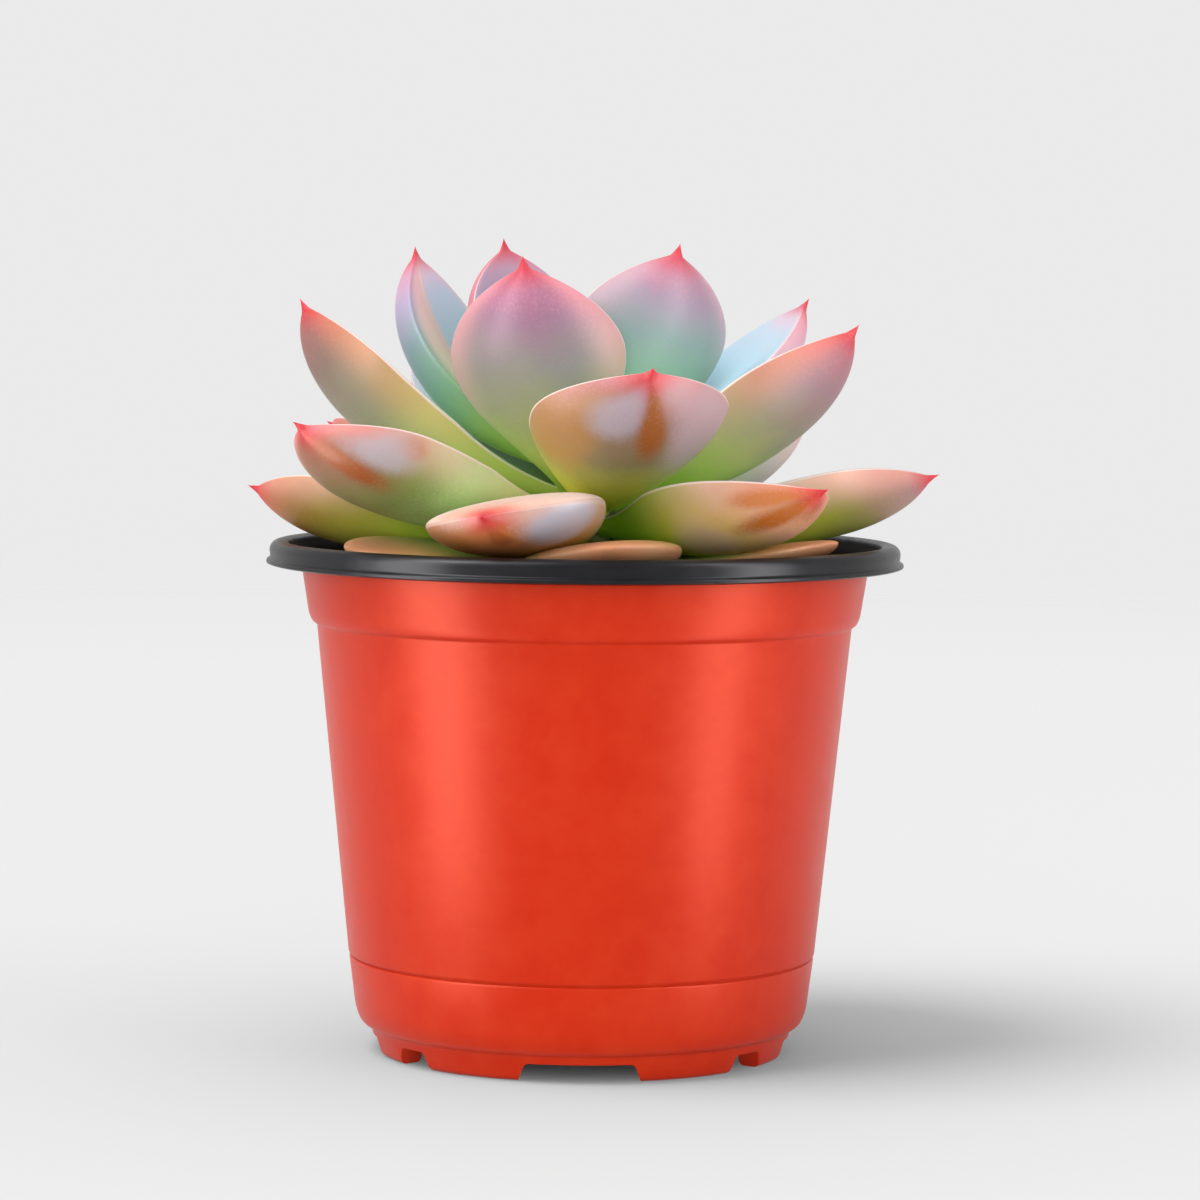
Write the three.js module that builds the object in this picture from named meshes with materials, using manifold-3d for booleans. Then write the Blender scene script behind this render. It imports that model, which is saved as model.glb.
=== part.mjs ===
// A potted echeveria: a two-layer plastic nursery pot, potting soil, and a rosette of thick leaves
// on a short stem. Millimetres, +Z up. The origin is on the pot's axis, where its feet stand.

import * as THREE from "three";
import { mergeVertices } from "three/addons/utils/BufferGeometryUtils.js";
import Module from "manifold-3d";

const wasm = await Module();
wasm.setup();

// Pot: radii of the outside, heights above the ground where the wall changes
const potHeight = 88.5;
const rimRadius = 55;
const rimTopRadius = 52.8;
const mouthRadius = 50.6;
const rimUnderside = 84.3;
const collarTopRadius = 48.9;
const collarBottomRadius = 47.4;
const ledgeHeight = 74.6;
const bodyTopRadius = 46.2;
const bodyBottomRadius = 40.4;
const grooveHeight = 16.7;
const grooveCut = 0.5;
const bandBottomRadius = 39.1;
const bandBottom = 7.4;
const stepHeight = 4.4;
const footTopRadius = 36.4;
const footBottomRadius = 35.5;
const footInnerRadius = 31.6;
const footRounding = 0.8;
const floorUnderside = 3.3;
const floorWall = 1.1;
const layerWall = 0.9;
const layerGap = 0.3;
const potSegments = 48;

// Notches that split the foot ring into eight feet: azimuths in degrees, sizes in millimetres
const notchHeight = 3.1;
const notchFlare = 1.1;
const wideNotch = { azimuths: [0, 90, 180, 270], halfWidth: 9.2 };
const narrowNotch = { azimuths: [38, 142, 218, 322], halfWidth: 3.1 };

// Drain holes through both layers of the floor
const drainHole = { radius: 3.5, circle: 21, count: 6 };

// Soil and stem
const soilTop = 81.3;
const soilMound = 0.7;
const soilRelief = 0.3;
const soilRings = [9, 17, 25, 33, 41];
const stemRadius = 5;
const stemTipRadius = 2.8;
const stemTaper = 0.2;
const stemShoulder = 94.5;
const stemTop = 103.2;
const stemBuried = 20;
const stemSegments = 20;

// Leaves: shape shared by all of them
const leafSides = 12;
const leafStations = [0, 0.05, 0.12, 0.21, 0.31, 0.41, 0.51, 0.61, 0.7, 0.78, 0.85, 0.91, 0.955, 0.985];
const leafBaseWidth = 0.23;
const leafBaseThickness = 0.34;
const leafHollow = 0.15;
const leafWidest = 0.62;
const leafTwistShare = 0.4;
const innerFaceShare = 0.32;
const tipSpike = { length: 2.2, shoulder: 0.7, halfWidth: 0.45, thickness: 0.85 };
const stemClearance = 0.9;

// Leaves: place and size of each. The azimuth is where it points, the height is that of its foot over
// the pot, and lift gives its slope at the foot and at the tip, in degrees.
const innerLeaves = [
  { azimuth: 18, height: 12, lift: [32, 47], length: 45, width: 28, thickness: 9.5 },
  { azimuth: 55, height: 15.5, lift: [59, 67], length: 34.5, width: 25, thickness: 8.5, twist: -5 },
  { azimuth: 95, height: 11, lift: [40, 52], length: 42.5, width: 28, thickness: 8.5, twist: -10 },
  { azimuth: 147, height: 19, lift: [55, 78], length: 34, width: 28, thickness: 10, twist: -5 },
  { azimuth: 158, height: 14.5, lift: [25, 76], length: 45.5, width: 29, thickness: 10 },
  { azimuth: 244, height: 10.5, lift: [47, 77], length: 41.5, width: 30, thickness: 10, twist: 15 },
  { azimuth: 325, height: 14, lift: [64, 72], length: 38, width: 28.5, thickness: 10, twist: -30 },
];
const middleLeaves = [
  { azimuth: 36, height: 4, lift: [18, 32], length: 45.5, width: 28.5, thickness: 10, twist: -20 },
  { azimuth: 65, height: 7.5, lift: [26, 43], length: 48.5, width: 28, thickness: 7.5 },
  { azimuth: 94, height: 5, lift: [11, 33], length: 53.5, width: 27.5, thickness: 7.5, twist: -5 },
  { azimuth: 127, height: 7.5, lift: [25, 39], length: 47.5, width: 28, thickness: 8, twist: 5 },
  { azimuth: 143, height: 3.5, lift: [16, 17], length: 53, width: 27.5, thickness: 9, twist: 20 },
  { azimuth: 185, height: 9, lift: [18, 53], length: 53.5, width: 29, thickness: 11, twist: 10, widest: 0.7 },
  { azimuth: 218, height: 6, lift: [4, 26], length: 55.5, width: 28, thickness: 9.5, twist: 15, widest: 0.7 },
  { azimuth: 281, height: 6.5, lift: [25, 26], length: 54.5, width: 34.5, thickness: 10 },
  { azimuth: 339, height: 8, lift: [25, 43], length: 51, width: 29, thickness: 10, twist: -10 },
];
const outerLeaves = [
  { azimuth: -4, height: 1, lift: [12, 11], length: 54, width: 28, thickness: 10, twist: 10, widest: 0.7 },
  { azimuth: 70, height: 0.5, lift: [3, 12], length: 50, width: 28, thickness: 10, twist: 5 },
  { azimuth: 118, height: -1.5, lift: [6, 12], length: 51.5, width: 27.5, thickness: 9, twist: -5 },
  { azimuth: 171, height: 0, lift: [8, 10], length: 52.5, width: 29, thickness: 9.5, twist: 15, widest: 0.7 },
  { azimuth: 253, height: 2, lift: [11, 0], length: 49.5, width: 29.5, thickness: 10, twist: 10,
    hollow: 0, widest: 0.7 },
  { azimuth: 311, height: 3.5, lift: [6, 10], length: 53, width: 26, thickness: 10.5, twist: 10 },
];
const groundLeaves = [
  { azimuth: 214, height: -3, lift: [3, 4], length: 42, width: 29, thickness: 5, twist: -5, hollow: 0 },
  { azimuth: 275, height: -4, lift: [5, 10], length: 42.5, width: 27, thickness: 5.5, twist: 5, hollow: 0 },
  { azimuth: 332, height: -3.5, lift: [-1, 14], length: 42.5, width: 27, thickness: 4.5, hollow: 0 },
];

// Heart: small young leaves round the growing tip, each one turned by the golden angle from the last
const goldenAngle = 137.5;
const heartLeafCount = 11;
const heartSides = 8;
const heartStations = [0, 0.15, 0.35, 0.55, 0.74, 0.88, 0.96];
const heartCoreLine = [[0, 0], [1.7, 0], [2.3, 1.5], [2.6, 4], [2.9, 7], [2.6, 10], [1.6, 12.5], [0, 13.5]];
const heartLeaf = { foot: 1.2, height: 19, lift: [70, 76], length: 15, width: 8.6, thickness: 3.2 };
const heartLeafStep = { height: 0.45, lift: 0.9, length: -0.65, width: -0.3, thickness: -0.1 };

const pieces = new THREE.Group();
const radians = THREE.MathUtils.degToRad;

// Seeded random numbers from 0 to 1
function randomFrom(seed) {
  let state = seed;
  return () => {
    state = (state * 1664525 + 1013904223) % 4294967296;
    return state / 4294967296;
  };
}

function addPiece(name, geometry, material) {
  const mesh = new THREE.Mesh(geometry, material);
  mesh.name = name;
  pieces.add(mesh);
}

// Leaves only the positions and joins the vertices that lie on each other
function merged(geometry) {
  const bare = geometry.clone();
  bare.deleteAttribute("normal");
  bare.deleteAttribute("uv");
  return mergeVertices(bare, 1e-3);
}

function solidFrom(geometry) {
  const closed = merged(geometry);
  const mesh = new wasm.Mesh({
    numProp: 3,
    vertProperties: closed.attributes.position.array,
    triVerts: new Uint32Array(closed.index.array),
  });
  return new wasm.Manifold(mesh);
}

function geometryFrom(solid) {
  const mesh = solid.getMesh();
  const geometry = new THREE.BufferGeometry();
  geometry.setAttribute("position", new THREE.BufferAttribute(mesh.vertProperties, 3));
  geometry.setIndex(new THREE.BufferAttribute(mesh.triVerts, 1));
  geometry.computeVertexNormals();
  return geometry;
}

// Turns a closed profile of [radius, height] pairs round the Z axis
function turned(profile, segments = potSegments) {
  const points = profile.map(([radius, height]) => new THREE.Vector2(radius, height));
  points.push(points[0].clone());
  return new THREE.LatheGeometry(points, segments).rotateX(Math.PI / 2);
}

// An upright cylinder from one height to another
function upright(radius, from, to, segments) {
  const cylinder = new THREE.CylinderGeometry(radius, radius, to - from, segments);
  return cylinder.rotateX(Math.PI / 2).translate(0, 0, (from + to) / 2);
}

// The wall from the floor's corner up to the rim, moved inwards by inset
function wallLine(inset, floorHeight) {
  return [
    [footTopRadius - 0.7 - inset, floorHeight],
    [bandBottomRadius - 0.9 - inset, floorHeight + 1.6],
    [bandBottomRadius - inset, floorHeight + 4.4],
    [bodyBottomRadius - 0.3 - inset, grooveHeight],
    [bodyTopRadius - inset, ledgeHeight - 1.1],
    [collarBottomRadius - inset, ledgeHeight + 0.4],
    [collarTopRadius - inset, rimUnderside - layerGap],
  ];
}

// Cutters for the notches of one width, all round the foot ring
function notchCutters({ azimuths, halfWidth }) {
  const outline = new THREE.Shape([
    new THREE.Vector2(-halfWidth - notchFlare, -1),
    new THREE.Vector2(halfWidth + notchFlare, -1),
    new THREE.Vector2(halfWidth, notchHeight),
    new THREE.Vector2(-halfWidth, notchHeight),
  ]);
  const reach = footTopRadius - footInnerRadius + 4;
  return azimuths.map((azimuth) => {
    const cutter = new THREE.ExtrudeGeometry(outline, { depth: reach, bevelEnabled: false });
    cutter.rotateX(Math.PI / 2).translate(0, -footInnerRadius + 2, 0);
    return solidFrom(cutter.rotateZ(radians(azimuth - 270)));
  });
}

function drainCutters() {
  const cutters = [];
  for (let i = 0; i < drainHole.count; i += 1) {
    const turn = ((i + 0.5) / drainHole.count) * 2 * Math.PI;
    const cutter = upright(drainHole.radius, 0, 12, 16);
    cutter.translate(drainHole.circle * Math.cos(turn), drainHole.circle * Math.sin(turn), 0);
    cutters.push(solidFrom(cutter));
  }
  return cutters;
}

function cut(solid, cutters) {
  return cutters.reduce((rest, cutter) => rest.subtract(cutter), solid);
}

// Red outer layer: collar, body, groove, band, step and notched foot ring
function makeOuterLayer() {
  const floorTop = floorUnderside + floorWall;
  const inside = wallLine(layerWall, floorTop).reverse();
  const profile = [
    [0, floorUnderside],
    [footInnerRadius, floorUnderside],
    [footInnerRadius, footRounding],
    [footInnerRadius + footRounding, 0],
    [footBottomRadius - footRounding, 0],
    [footBottomRadius, footRounding],
    [footTopRadius, stepHeight - 0.4],
    [footTopRadius + 0.2, stepHeight],
    [bandBottomRadius - 1.2, stepHeight + 0.9],
    [bandBottomRadius - 0.3, bandBottom - 0.9],
    [bandBottomRadius, bandBottom],
    [bodyBottomRadius - 0.15, grooveHeight - 0.5],
    [bodyBottomRadius - grooveCut, grooveHeight],
    [bodyBottomRadius, grooveHeight + 0.4],
    [bodyTopRadius, ledgeHeight - 1.1],
    [collarBottomRadius - 0.2, ledgeHeight],
    [collarBottomRadius + 0.1, ledgeHeight + 1.1],
    [collarTopRadius, rimUnderside - layerGap],
    ...inside,
    [0, floorTop],
  ];
  const body = solidFrom(turned(profile));
  const cutters = [...notchCutters(wideNotch), ...notchCutters(narrowNotch), ...drainCutters()];
  const material = new THREE.MeshStandardMaterial({ color: 0xdc3a1e, roughness: 0.42, metalness: 0 });
  addPiece("pot_outer_layer", geometryFrom(cut(body, cutters)), material);
}

// Black inner layer, whose rolled edge is the rim with its thin flared lip
function makeInnerLayer() {
  const outset = layerWall + layerGap;
  const floorBottom = floorUnderside + floorWall + layerGap;
  const floorTop = floorBottom + floorWall;
  const profile = [
    [0, floorBottom],
    ...wallLine(outset, floorBottom),
    [collarTopRadius - outset, rimUnderside],
    [rimRadius - 0.8, rimUnderside],
    [rimRadius, rimUnderside + 0.3],
    [rimRadius, rimUnderside + 0.8],
    [rimRadius - 0.6, rimUnderside + 1.2],
    [rimRadius - 0.5, potHeight - 1.9],
    [rimRadius - 0.8, potHeight - 0.8],
    [rimTopRadius + 0.8, potHeight - 0.15],
    [rimTopRadius, potHeight],
    [rimTopRadius - 1, potHeight - 0.2],
    [mouthRadius, potHeight - 1],
    [mouthRadius - 1.8, potHeight - 2.2],
    [mouthRadius - 3, potHeight - 4],
    ...wallLine(outset + layerWall, floorTop).reverse(),
    [0, floorTop],
  ];
  const body = solidFrom(turned(profile));
  const material = new THREE.MeshStandardMaterial({ color: 0x2b2b2e, roughness: 0.45, metalness: 0 });
  addPiece("pot_inner_layer_and_rim", geometryFrom(cut(body, drainCutters())), material);
}

// Potting soil: fills the pot, lightly mounded and rough on top, with a plain hole for the stem
function makeSoil() {
  const inset = 2 * (layerWall + layerGap);
  const floorTop = floorUnderside + 2 * floorWall + 2 * layerGap;
  const wall = wallLine(inset, floorTop).slice(0, 5);
  const edgeRadius = collarBottomRadius + 0.6 - inset;
  const surface = soilRings.map((radius) => [radius, soilTop + soilMound * (1 - (radius / 44) ** 2)]);
  const profile = [
    [0, floorTop],
    ...wall,
    [collarBottomRadius - inset, ledgeHeight + 0.4],
    [edgeRadius, soilTop - 0.6],
    ...surface.reverse(),
    [0, soilTop + soilMound],
  ];
  const body = merged(turned(profile));
  const random = randomFrom(7);
  const position = body.attributes.position;
  for (let i = 0; i < position.count; i += 1) {
    const radius = Math.hypot(position.getX(i), position.getY(i));
    if (position.getZ(i) > soilTop - 0.1 && radius < edgeRadius - 2) {
      position.setZ(i, position.getZ(i) + soilRelief * (2 * random() - 1));
    }
  }
  const hole = upright(stemRadius + layerGap, soilTop - stemBuried - layerGap, potHeight, stemSegments);
  const material = new THREE.MeshStandardMaterial({ color: 0x3a2a20, roughness: 0.95, metalness: 0 });
  addPiece("potting_soil", geometryFrom(cut(solidFrom(body), [solidFrom(hole)])), material);
}

// The stem narrows by the taper for each millimetre above its shoulder
function stemRadiusAt(height) {
  const narrowed = stemRadius - stemTaper * Math.max(height - stemShoulder, 0);
  return Math.max(narrowed, stemTipRadius);
}

// Short woody stem: a straight foot in the soil, ringed by leaf scars, narrowing to the growing tip
function makeStem() {
  const foot = soilTop - stemBuried;
  const profile = [
    [0, foot],
    [stemRadius - 1.2, foot],
    [stemRadius, foot + 2],
    [stemRadius, stemShoulder],
    [stemRadiusAt(stemTop - 1), stemTop - 1],
    [stemRadiusAt(stemTop) - 1.2, stemTop],
    [0, stemTop],
  ];
  const material = new THREE.MeshStandardMaterial({ color: 0x7d8a4a, roughness: 0.8, metalness: 0 });
  addPiece("stem", merged(turned(profile, stemSegments)), material);
}

// Half the width of a leaf at a share of its length: narrow at the foot, widest past the middle
function halfWidthAt(share, { width, widest = leafWidest }) {
  const rise = Math.sin((Math.PI / 2) * Math.min(share / widest, 1)) ** 1.55;
  const beyond = Math.max((share - widest) / (1 - widest), 0);
  const fall = Math.max(1 - beyond ** 2, 0) ** 0.8;
  return (width / 2) * (leafBaseWidth + (1 - leafBaseWidth) * rise) * fall;
}

function thicknessAt(share, { thickness }) {
  const rise = Math.sin((Math.PI / 2) * Math.min(2 * share, 1));
  const beyond = Math.max(2 * share - 1, 0);
  const fall = Math.max(1 - beyond ** 3, 0) ** 0.62;
  return thickness * (leafBaseThickness + (1 - leafBaseThickness) * rise) * fall;
}

// The middle line of a leaf is an arc that starts beside the stem
function spinePoint(share, { height, lift, length, foot }) {
  const from = radians(lift[0]);
  const bend = radians(lift[1]) - from || 1e-6;
  const radius = length / bend;
  const angle = from + bend * share;
  const base = potHeight + height;
  const start = foot ?? stemRadiusAt(base) + stemClearance;
  return {
    out: start + radius * (Math.sin(angle) - Math.sin(from)),
    up: base + radius * (Math.cos(from) - Math.cos(angle)),
    angle,
  };
}

// Cross sections along a leaf, from its foot to the end of the spike at its tip
function leafSections(leaf, stations) {
  const blade = stations.map((share) => ({
    share,
    halfWidth: Math.max(halfWidthAt(share, leaf), tipSpike.halfWidth),
    thickness: Math.max(thicknessAt(share, leaf), tipSpike.thickness),
  }));
  const spike = { ...tipSpike, share: 1 + tipSpike.shoulder / leaf.length };
  const foot = { share: 0, halfWidth: 0, thickness: 0 };
  const end = { share: 1 + tipSpike.length / leaf.length, halfWidth: 0, thickness: 0 };
  return [foot, ...blade, spike, end];
}

// A thick leaf: keeled outside, nearly flat to hollow inside, ending in a short spike
function leafGeometry(leaf, sides = leafSides, stations = leafStations) {
  const sections = leafSections(leaf, stations);
  const geometry = merged(new THREE.SphereGeometry(1, sides, sections.length - 1));
  const position = geometry.attributes.position;
  const azimuth = radians(leaf.azimuth);
  for (let i = 0; i < position.count; i += 1) {
    const ring = Math.round((Math.acos(position.getY(i)) / Math.PI) * (sections.length - 1));
    const round = Math.atan2(position.getZ(i), position.getX(i));
    const { share, halfWidth, thickness } = sections[ring];
    const side = halfWidth * Math.cos(round);
    const faceShare = Math.sin(round) > 0 ? innerFaceShare : 1 - innerFaceShare;
    const cup = (leaf.hollow ?? leafHollow) * halfWidth * (Math.cos(round) ** 2 - 0.35);
    const above = cup + faceShare * thickness * Math.sin(round);
    const twist = radians(leaf.twist ?? 0) * Math.min(share / leafTwistShare, 1);
    const across = side * Math.cos(twist) - above * Math.sin(twist);
    const inward = side * Math.sin(twist) + above * Math.cos(twist);
    const spine = spinePoint(share, leaf);
    const out = spine.out - inward * Math.sin(spine.angle);
    position.setXYZ(
      i,
      out * Math.cos(azimuth) - across * Math.sin(azimuth),
      out * Math.sin(azimuth) + across * Math.cos(azimuth),
      spine.up + inward * Math.cos(spine.angle),
    );
  }
  return geometry;
}

function makeLeaves(prefix, leaves, color) {
  leaves.forEach((leaf, i) => {
    const material = new THREE.MeshStandardMaterial({ color, roughness: 0.6, metalness: 0 });
    addPiece(`${prefix}_leaf_${i + 1}`, leafGeometry(leaf), material);
  });
}

// The i-th young leaf from the outside: each stands higher and steeper than the last and is smaller
function youngLeaf(i) {
  return {
    azimuth: 20 + goldenAngle * i,
    foot: heartLeaf.foot,
    height: heartLeaf.height + heartLeafStep.height * i,
    lift: heartLeaf.lift.map((angle) => angle + heartLeafStep.lift * i),
    length: heartLeaf.length + heartLeafStep.length * i,
    width: heartLeaf.width + heartLeafStep.width * i,
    thickness: heartLeaf.thickness + heartLeafStep.thickness * i,
  };
}

// The heart stands on the stem: a small core that the young leaves are rooted in
function makeHeart() {
  const base = stemTop + layerGap;
  const core = heartCoreLine.map(([radius, height]) => [radius, base + height]);
  let heart = solidFrom(turned(core, 12));
  for (let i = 0; i < heartLeafCount; i += 1) {
    heart = heart.add(solidFrom(leafGeometry(youngLeaf(i), heartSides, heartStations)));
  }
  const material = new THREE.MeshStandardMaterial({ color: 0xa9b48c, roughness: 0.6, metalness: 0 });
  addPiece("heart", geometryFrom(heart), material);
}

makeOuterLayer();
makeInnerLayer();
makeSoil();
makeStem();
makeLeaves("inner", innerLeaves, 0xbca6a4);
makeLeaves("middle", middleLeaves, 0xc0a796);
makeLeaves("outer", outerLeaves, 0xc4a083);
makeLeaves("ground", groundLeaves, 0xb27a4a);
makeHeart();

export default pieces;
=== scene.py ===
import bpy
import bmesh
import math
import random
from mathutils import Matrix, Vector, noise


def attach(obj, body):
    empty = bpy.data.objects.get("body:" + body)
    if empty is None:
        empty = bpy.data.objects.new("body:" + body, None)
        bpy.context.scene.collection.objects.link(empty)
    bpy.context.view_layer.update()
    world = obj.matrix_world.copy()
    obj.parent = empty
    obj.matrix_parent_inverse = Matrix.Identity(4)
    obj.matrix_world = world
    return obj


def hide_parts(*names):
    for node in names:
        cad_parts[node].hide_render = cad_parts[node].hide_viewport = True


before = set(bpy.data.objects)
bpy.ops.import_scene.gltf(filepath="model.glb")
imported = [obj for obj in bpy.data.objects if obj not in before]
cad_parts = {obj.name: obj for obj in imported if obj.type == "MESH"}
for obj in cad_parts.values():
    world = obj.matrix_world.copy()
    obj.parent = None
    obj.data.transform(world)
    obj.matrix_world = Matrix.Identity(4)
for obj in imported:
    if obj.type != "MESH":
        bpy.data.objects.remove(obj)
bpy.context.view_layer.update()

scene = bpy.context.scene
mm = 0.001
eased = {"interpolation_type": "SMOOTHSTEP"}  # a map range that starts and ends gently


# shared helpers

# an sRGB hex colour as linear light
def colour(code):
    parts = [int(code[i:i + 2], 16) / 255 for i in (1, 3, 5)]
    return tuple(c / 12.92 if c <= 0.04045 else ((c + 0.055) / 1.055) ** 2.4 for c in parts) + (1.0,)


# settings are a node's own options or values of its inputs, links feed its inputs
def setNode(tree, node, settings, links):
    for key, value in settings.items():
        if isinstance(key, str) and hasattr(node, key):
            setattr(node, key, value)
        else:
            node.inputs[key].default_value = value
    for key, socket in links.items():
        tree.links.new(socket, node.inputs[key])
    return node


def addNode(tree, kind, settings={}, links={}):
    return setNode(tree, tree.nodes.new("ShaderNode" + kind), settings, links)


def setStops(ramp, stops):
    elements = ramp.color_ramp.elements
    while len(elements) > 1:
        elements.remove(elements[-1])
    elements[0].position, elements[0].color = stops[0][0], colour(stops[0][1])
    for position, code in stops[1:]:
        elements.new(position).color = colour(code)


def newMaterial(name):
    material = bpy.data.materials.new(name)
    material.use_nodes = True
    tree = material.node_tree
    tree.nodes.clear()
    output = tree.nodes.new("ShaderNodeOutputMaterial")
    shader = tree.nodes.new("ShaderNodeBsdfPrincipled")
    tree.links.new(shader.outputs[0], output.inputs[0])
    return material, tree, shader


# a bmesh becomes a smooth piece that rides on the pot and stands for its CAD nodes
def addPiece(name, bm, material, nodes, sharpAngle=None):
    mesh = bpy.data.meshes.new(name)
    bm.to_mesh(mesh)
    bm.free()
    piece = bpy.data.objects.new(name, mesh)
    scene.collection.objects.link(piece)
    mesh.materials.append(material)
    mesh.polygons.foreach_set("use_smooth", [True] * len(mesh.polygons))
    if sharpAngle:
        mesh.set_sharp_from_angle(angle=math.radians(sharpAngle))
    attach(piece, "root")
    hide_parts(*nodes)
    return piece


# a profile of (radius, height, rounding) in millimetres, turned into a body of revolution
def turnProfile(points, steps):
    bm = bmesh.new()
    verts = [bm.verts.new((p[0] * mm, 0, p[1] * mm)) for p in points]
    for pair in zip(verts, verts[1:]):
        bm.edges.new(pair)
    for vert, point in zip(list(verts), points):
        if len(point) > 2:
            bmesh.ops.bevel(bm, geom=[vert], offset=point[2] * mm, segments=4, profile=0.5,
                            affect="VERTICES", material=-1)
    bmesh.ops.spin(bm, geom=bm.verts[:] + bm.edges[:], axis=(0, 0, 1), cent=(0, 0, 0),
                   angle=2 * math.pi, steps=steps, use_merge=True)
    bmesh.ops.remove_doubles(bm, verts=bm.verts, dist=1e-6)
    bmesh.ops.recalc_face_normals(bm, faces=bm.faces)
    return bm


# pot, both layers

pot = {
    "height": 88.5,
    "rimRadius": 55.0,
    "rimTopRadius": 52.8,
    "mouthRadius": 50.6,
    "rimUnderside": 84.3,
    "collarTopRadius": 48.9,
    "collarBottomRadius": 47.4,
    "ledgeHeight": 74.6,
    "bodyTopRadius": 46.2,
    "bodyBottomRadius": 40.4,
    "grooveHeight": 16.7,
    "bandBottomRadius": 39.1,
    "bandBottom": 7.4,
    "stepHeight": 4.4,
    "footTopRadius": 36.4,
    "footBottomRadius": 35.5,
    "footInnerRadius": 31.6,
    "floorUnderside": 3.3,
    "wall": 0.9,
    "floorWall": 1.1,
    "gap": 0.3,
    "steps": 192,
    "notchHeight": 3.1,
    "notchFlare": 1.1,
    # azimuth and half the width of each notch
    "notches": [(0, 9.2), (90, 9.2), (180, 9.2), (270, 9.2),
                (38, 3.1), (142, 3.1), (218, 3.1), (322, 3.1)],
    "notchRounding": 0.7,
    "footRounding": 0.35,
    "drainHoles": 6,
    "drainTurn": 0.51,
    "drainRadius": 3.5,
    "drainCircle": 21.0,
    "drillLength": 12,
    # sheen tints the highlights, shine is how strong they are
    "red": {"colour": "#CC2808", "scuffed": "#D23412", "sheen": "#FFB49C", "shine": 0.4,
            "roughness": 0.37},
    "black": {"colour": "#131315", "scuffed": "#1C1C1F", "sheen": "#D8D8DC", "shine": 0.3,
              "roughness": 0.34},
    # how wide the ripples, the grain and the scuffed patches are
    "ripple": 24,
    "grain": 0.5,
    "scuff": 7,
    # painted shade on the inside wall below the mouth: its colour and the size of the specks on its
    # ragged edge
    "dustAndShade": "#0C0907",
    "shadeSpeck": 1.5,
    "shadeFrom": (1.2, 0.4),  # how far outside the mouth it starts and is full
    "sharpAngle": 32,
}


# the wall line from the floor to the rim, moved in by inset
def wallLine(inset, floorHeight):
    p = pot
    return [
        (p["footTopRadius"] - 0.7 - inset, floorHeight),
        (p["bandBottomRadius"] - 0.9 - inset, floorHeight + 1.6, 0.6),
        (p["bandBottomRadius"] - inset, floorHeight + 4.4, 0.6),
        (p["bodyBottomRadius"] - 0.3 - inset, p["grooveHeight"]),
        (p["bodyTopRadius"] - inset, p["ledgeHeight"] - 1.1, 0.3),
        (p["collarBottomRadius"] - inset, p["ledgeHeight"] + 0.4, 0.3),
        (p["collarTopRadius"] - inset, p["rimUnderside"] - p["gap"]),
    ]


# polypropylene, pressed from sheet and then slightly buffed by handling: satin, with soft broad
# highlights, the faint long ripples of the pressing and a very fine grain
def pressedPlastic(name, finish):
    material, tree, shader = newMaterial(name)
    place = addNode(tree, "TexCoord").outputs["Object"]
    streaks = addNode(tree, "Mapping", {"Scale": (1, 1, 0.16)}, {"Vector": place})
    ripple = addNode(tree, "TexNoise", {"Scale": 1 / (pot["ripple"] * mm), "Detail": 2.0},
                     {"Vector": streaks.outputs[0]})
    grain = addNode(tree, "TexNoise", {"Scale": 1 / (pot["grain"] * mm), "Detail": 3.0},
                    {"Vector": place})
    scuffs = addNode(tree, "TexNoise",
                     {"Scale": 1 / (pot["scuff"] * mm), "Detail": 5.0, "Roughness": 0.65},
                     {"Vector": place})
    patchy = addNode(tree, "MapRange", {1: 0.35, 2: 0.75, 3: 0.0, 4: 1.0},
                     {0: scuffs.outputs["Fac"]})
    tone = addNode(tree, "Mix",
                   {"data_type": "RGBA", 6: colour(finish["colour"]), 7: colour(finish["scuffed"])},
                   {0: patchy.outputs[0]})
    rough = finish["roughness"]
    gloss = addNode(tree, "MapRange", {1: 0.3, 2: 0.7, 3: rough - 0.04, 4: rough + 0.05},
                    {0: scuffs.outputs["Fac"]})
    wave = addNode(tree, "Bump", {"Strength": 0.35, "Distance": 0.12 * mm},
                   {"Height": ripple.outputs["Fac"]})
    fine = addNode(tree, "Bump", {"Strength": 0.25, "Distance": 0.02 * mm},
                   {"Height": grain.outputs["Fac"], "Normal": wave.outputs[0]})
    setNode(tree, shader, {"IOR": 1.49, "Specular IOR Level": finish["shine"],
                           "Specular Tint": colour(finish["sheen"])},
            {"Base Color": tone.outputs[2], "Roughness": gloss.outputs[0], "Normal": fine.outputs[0]})
    return material
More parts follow.
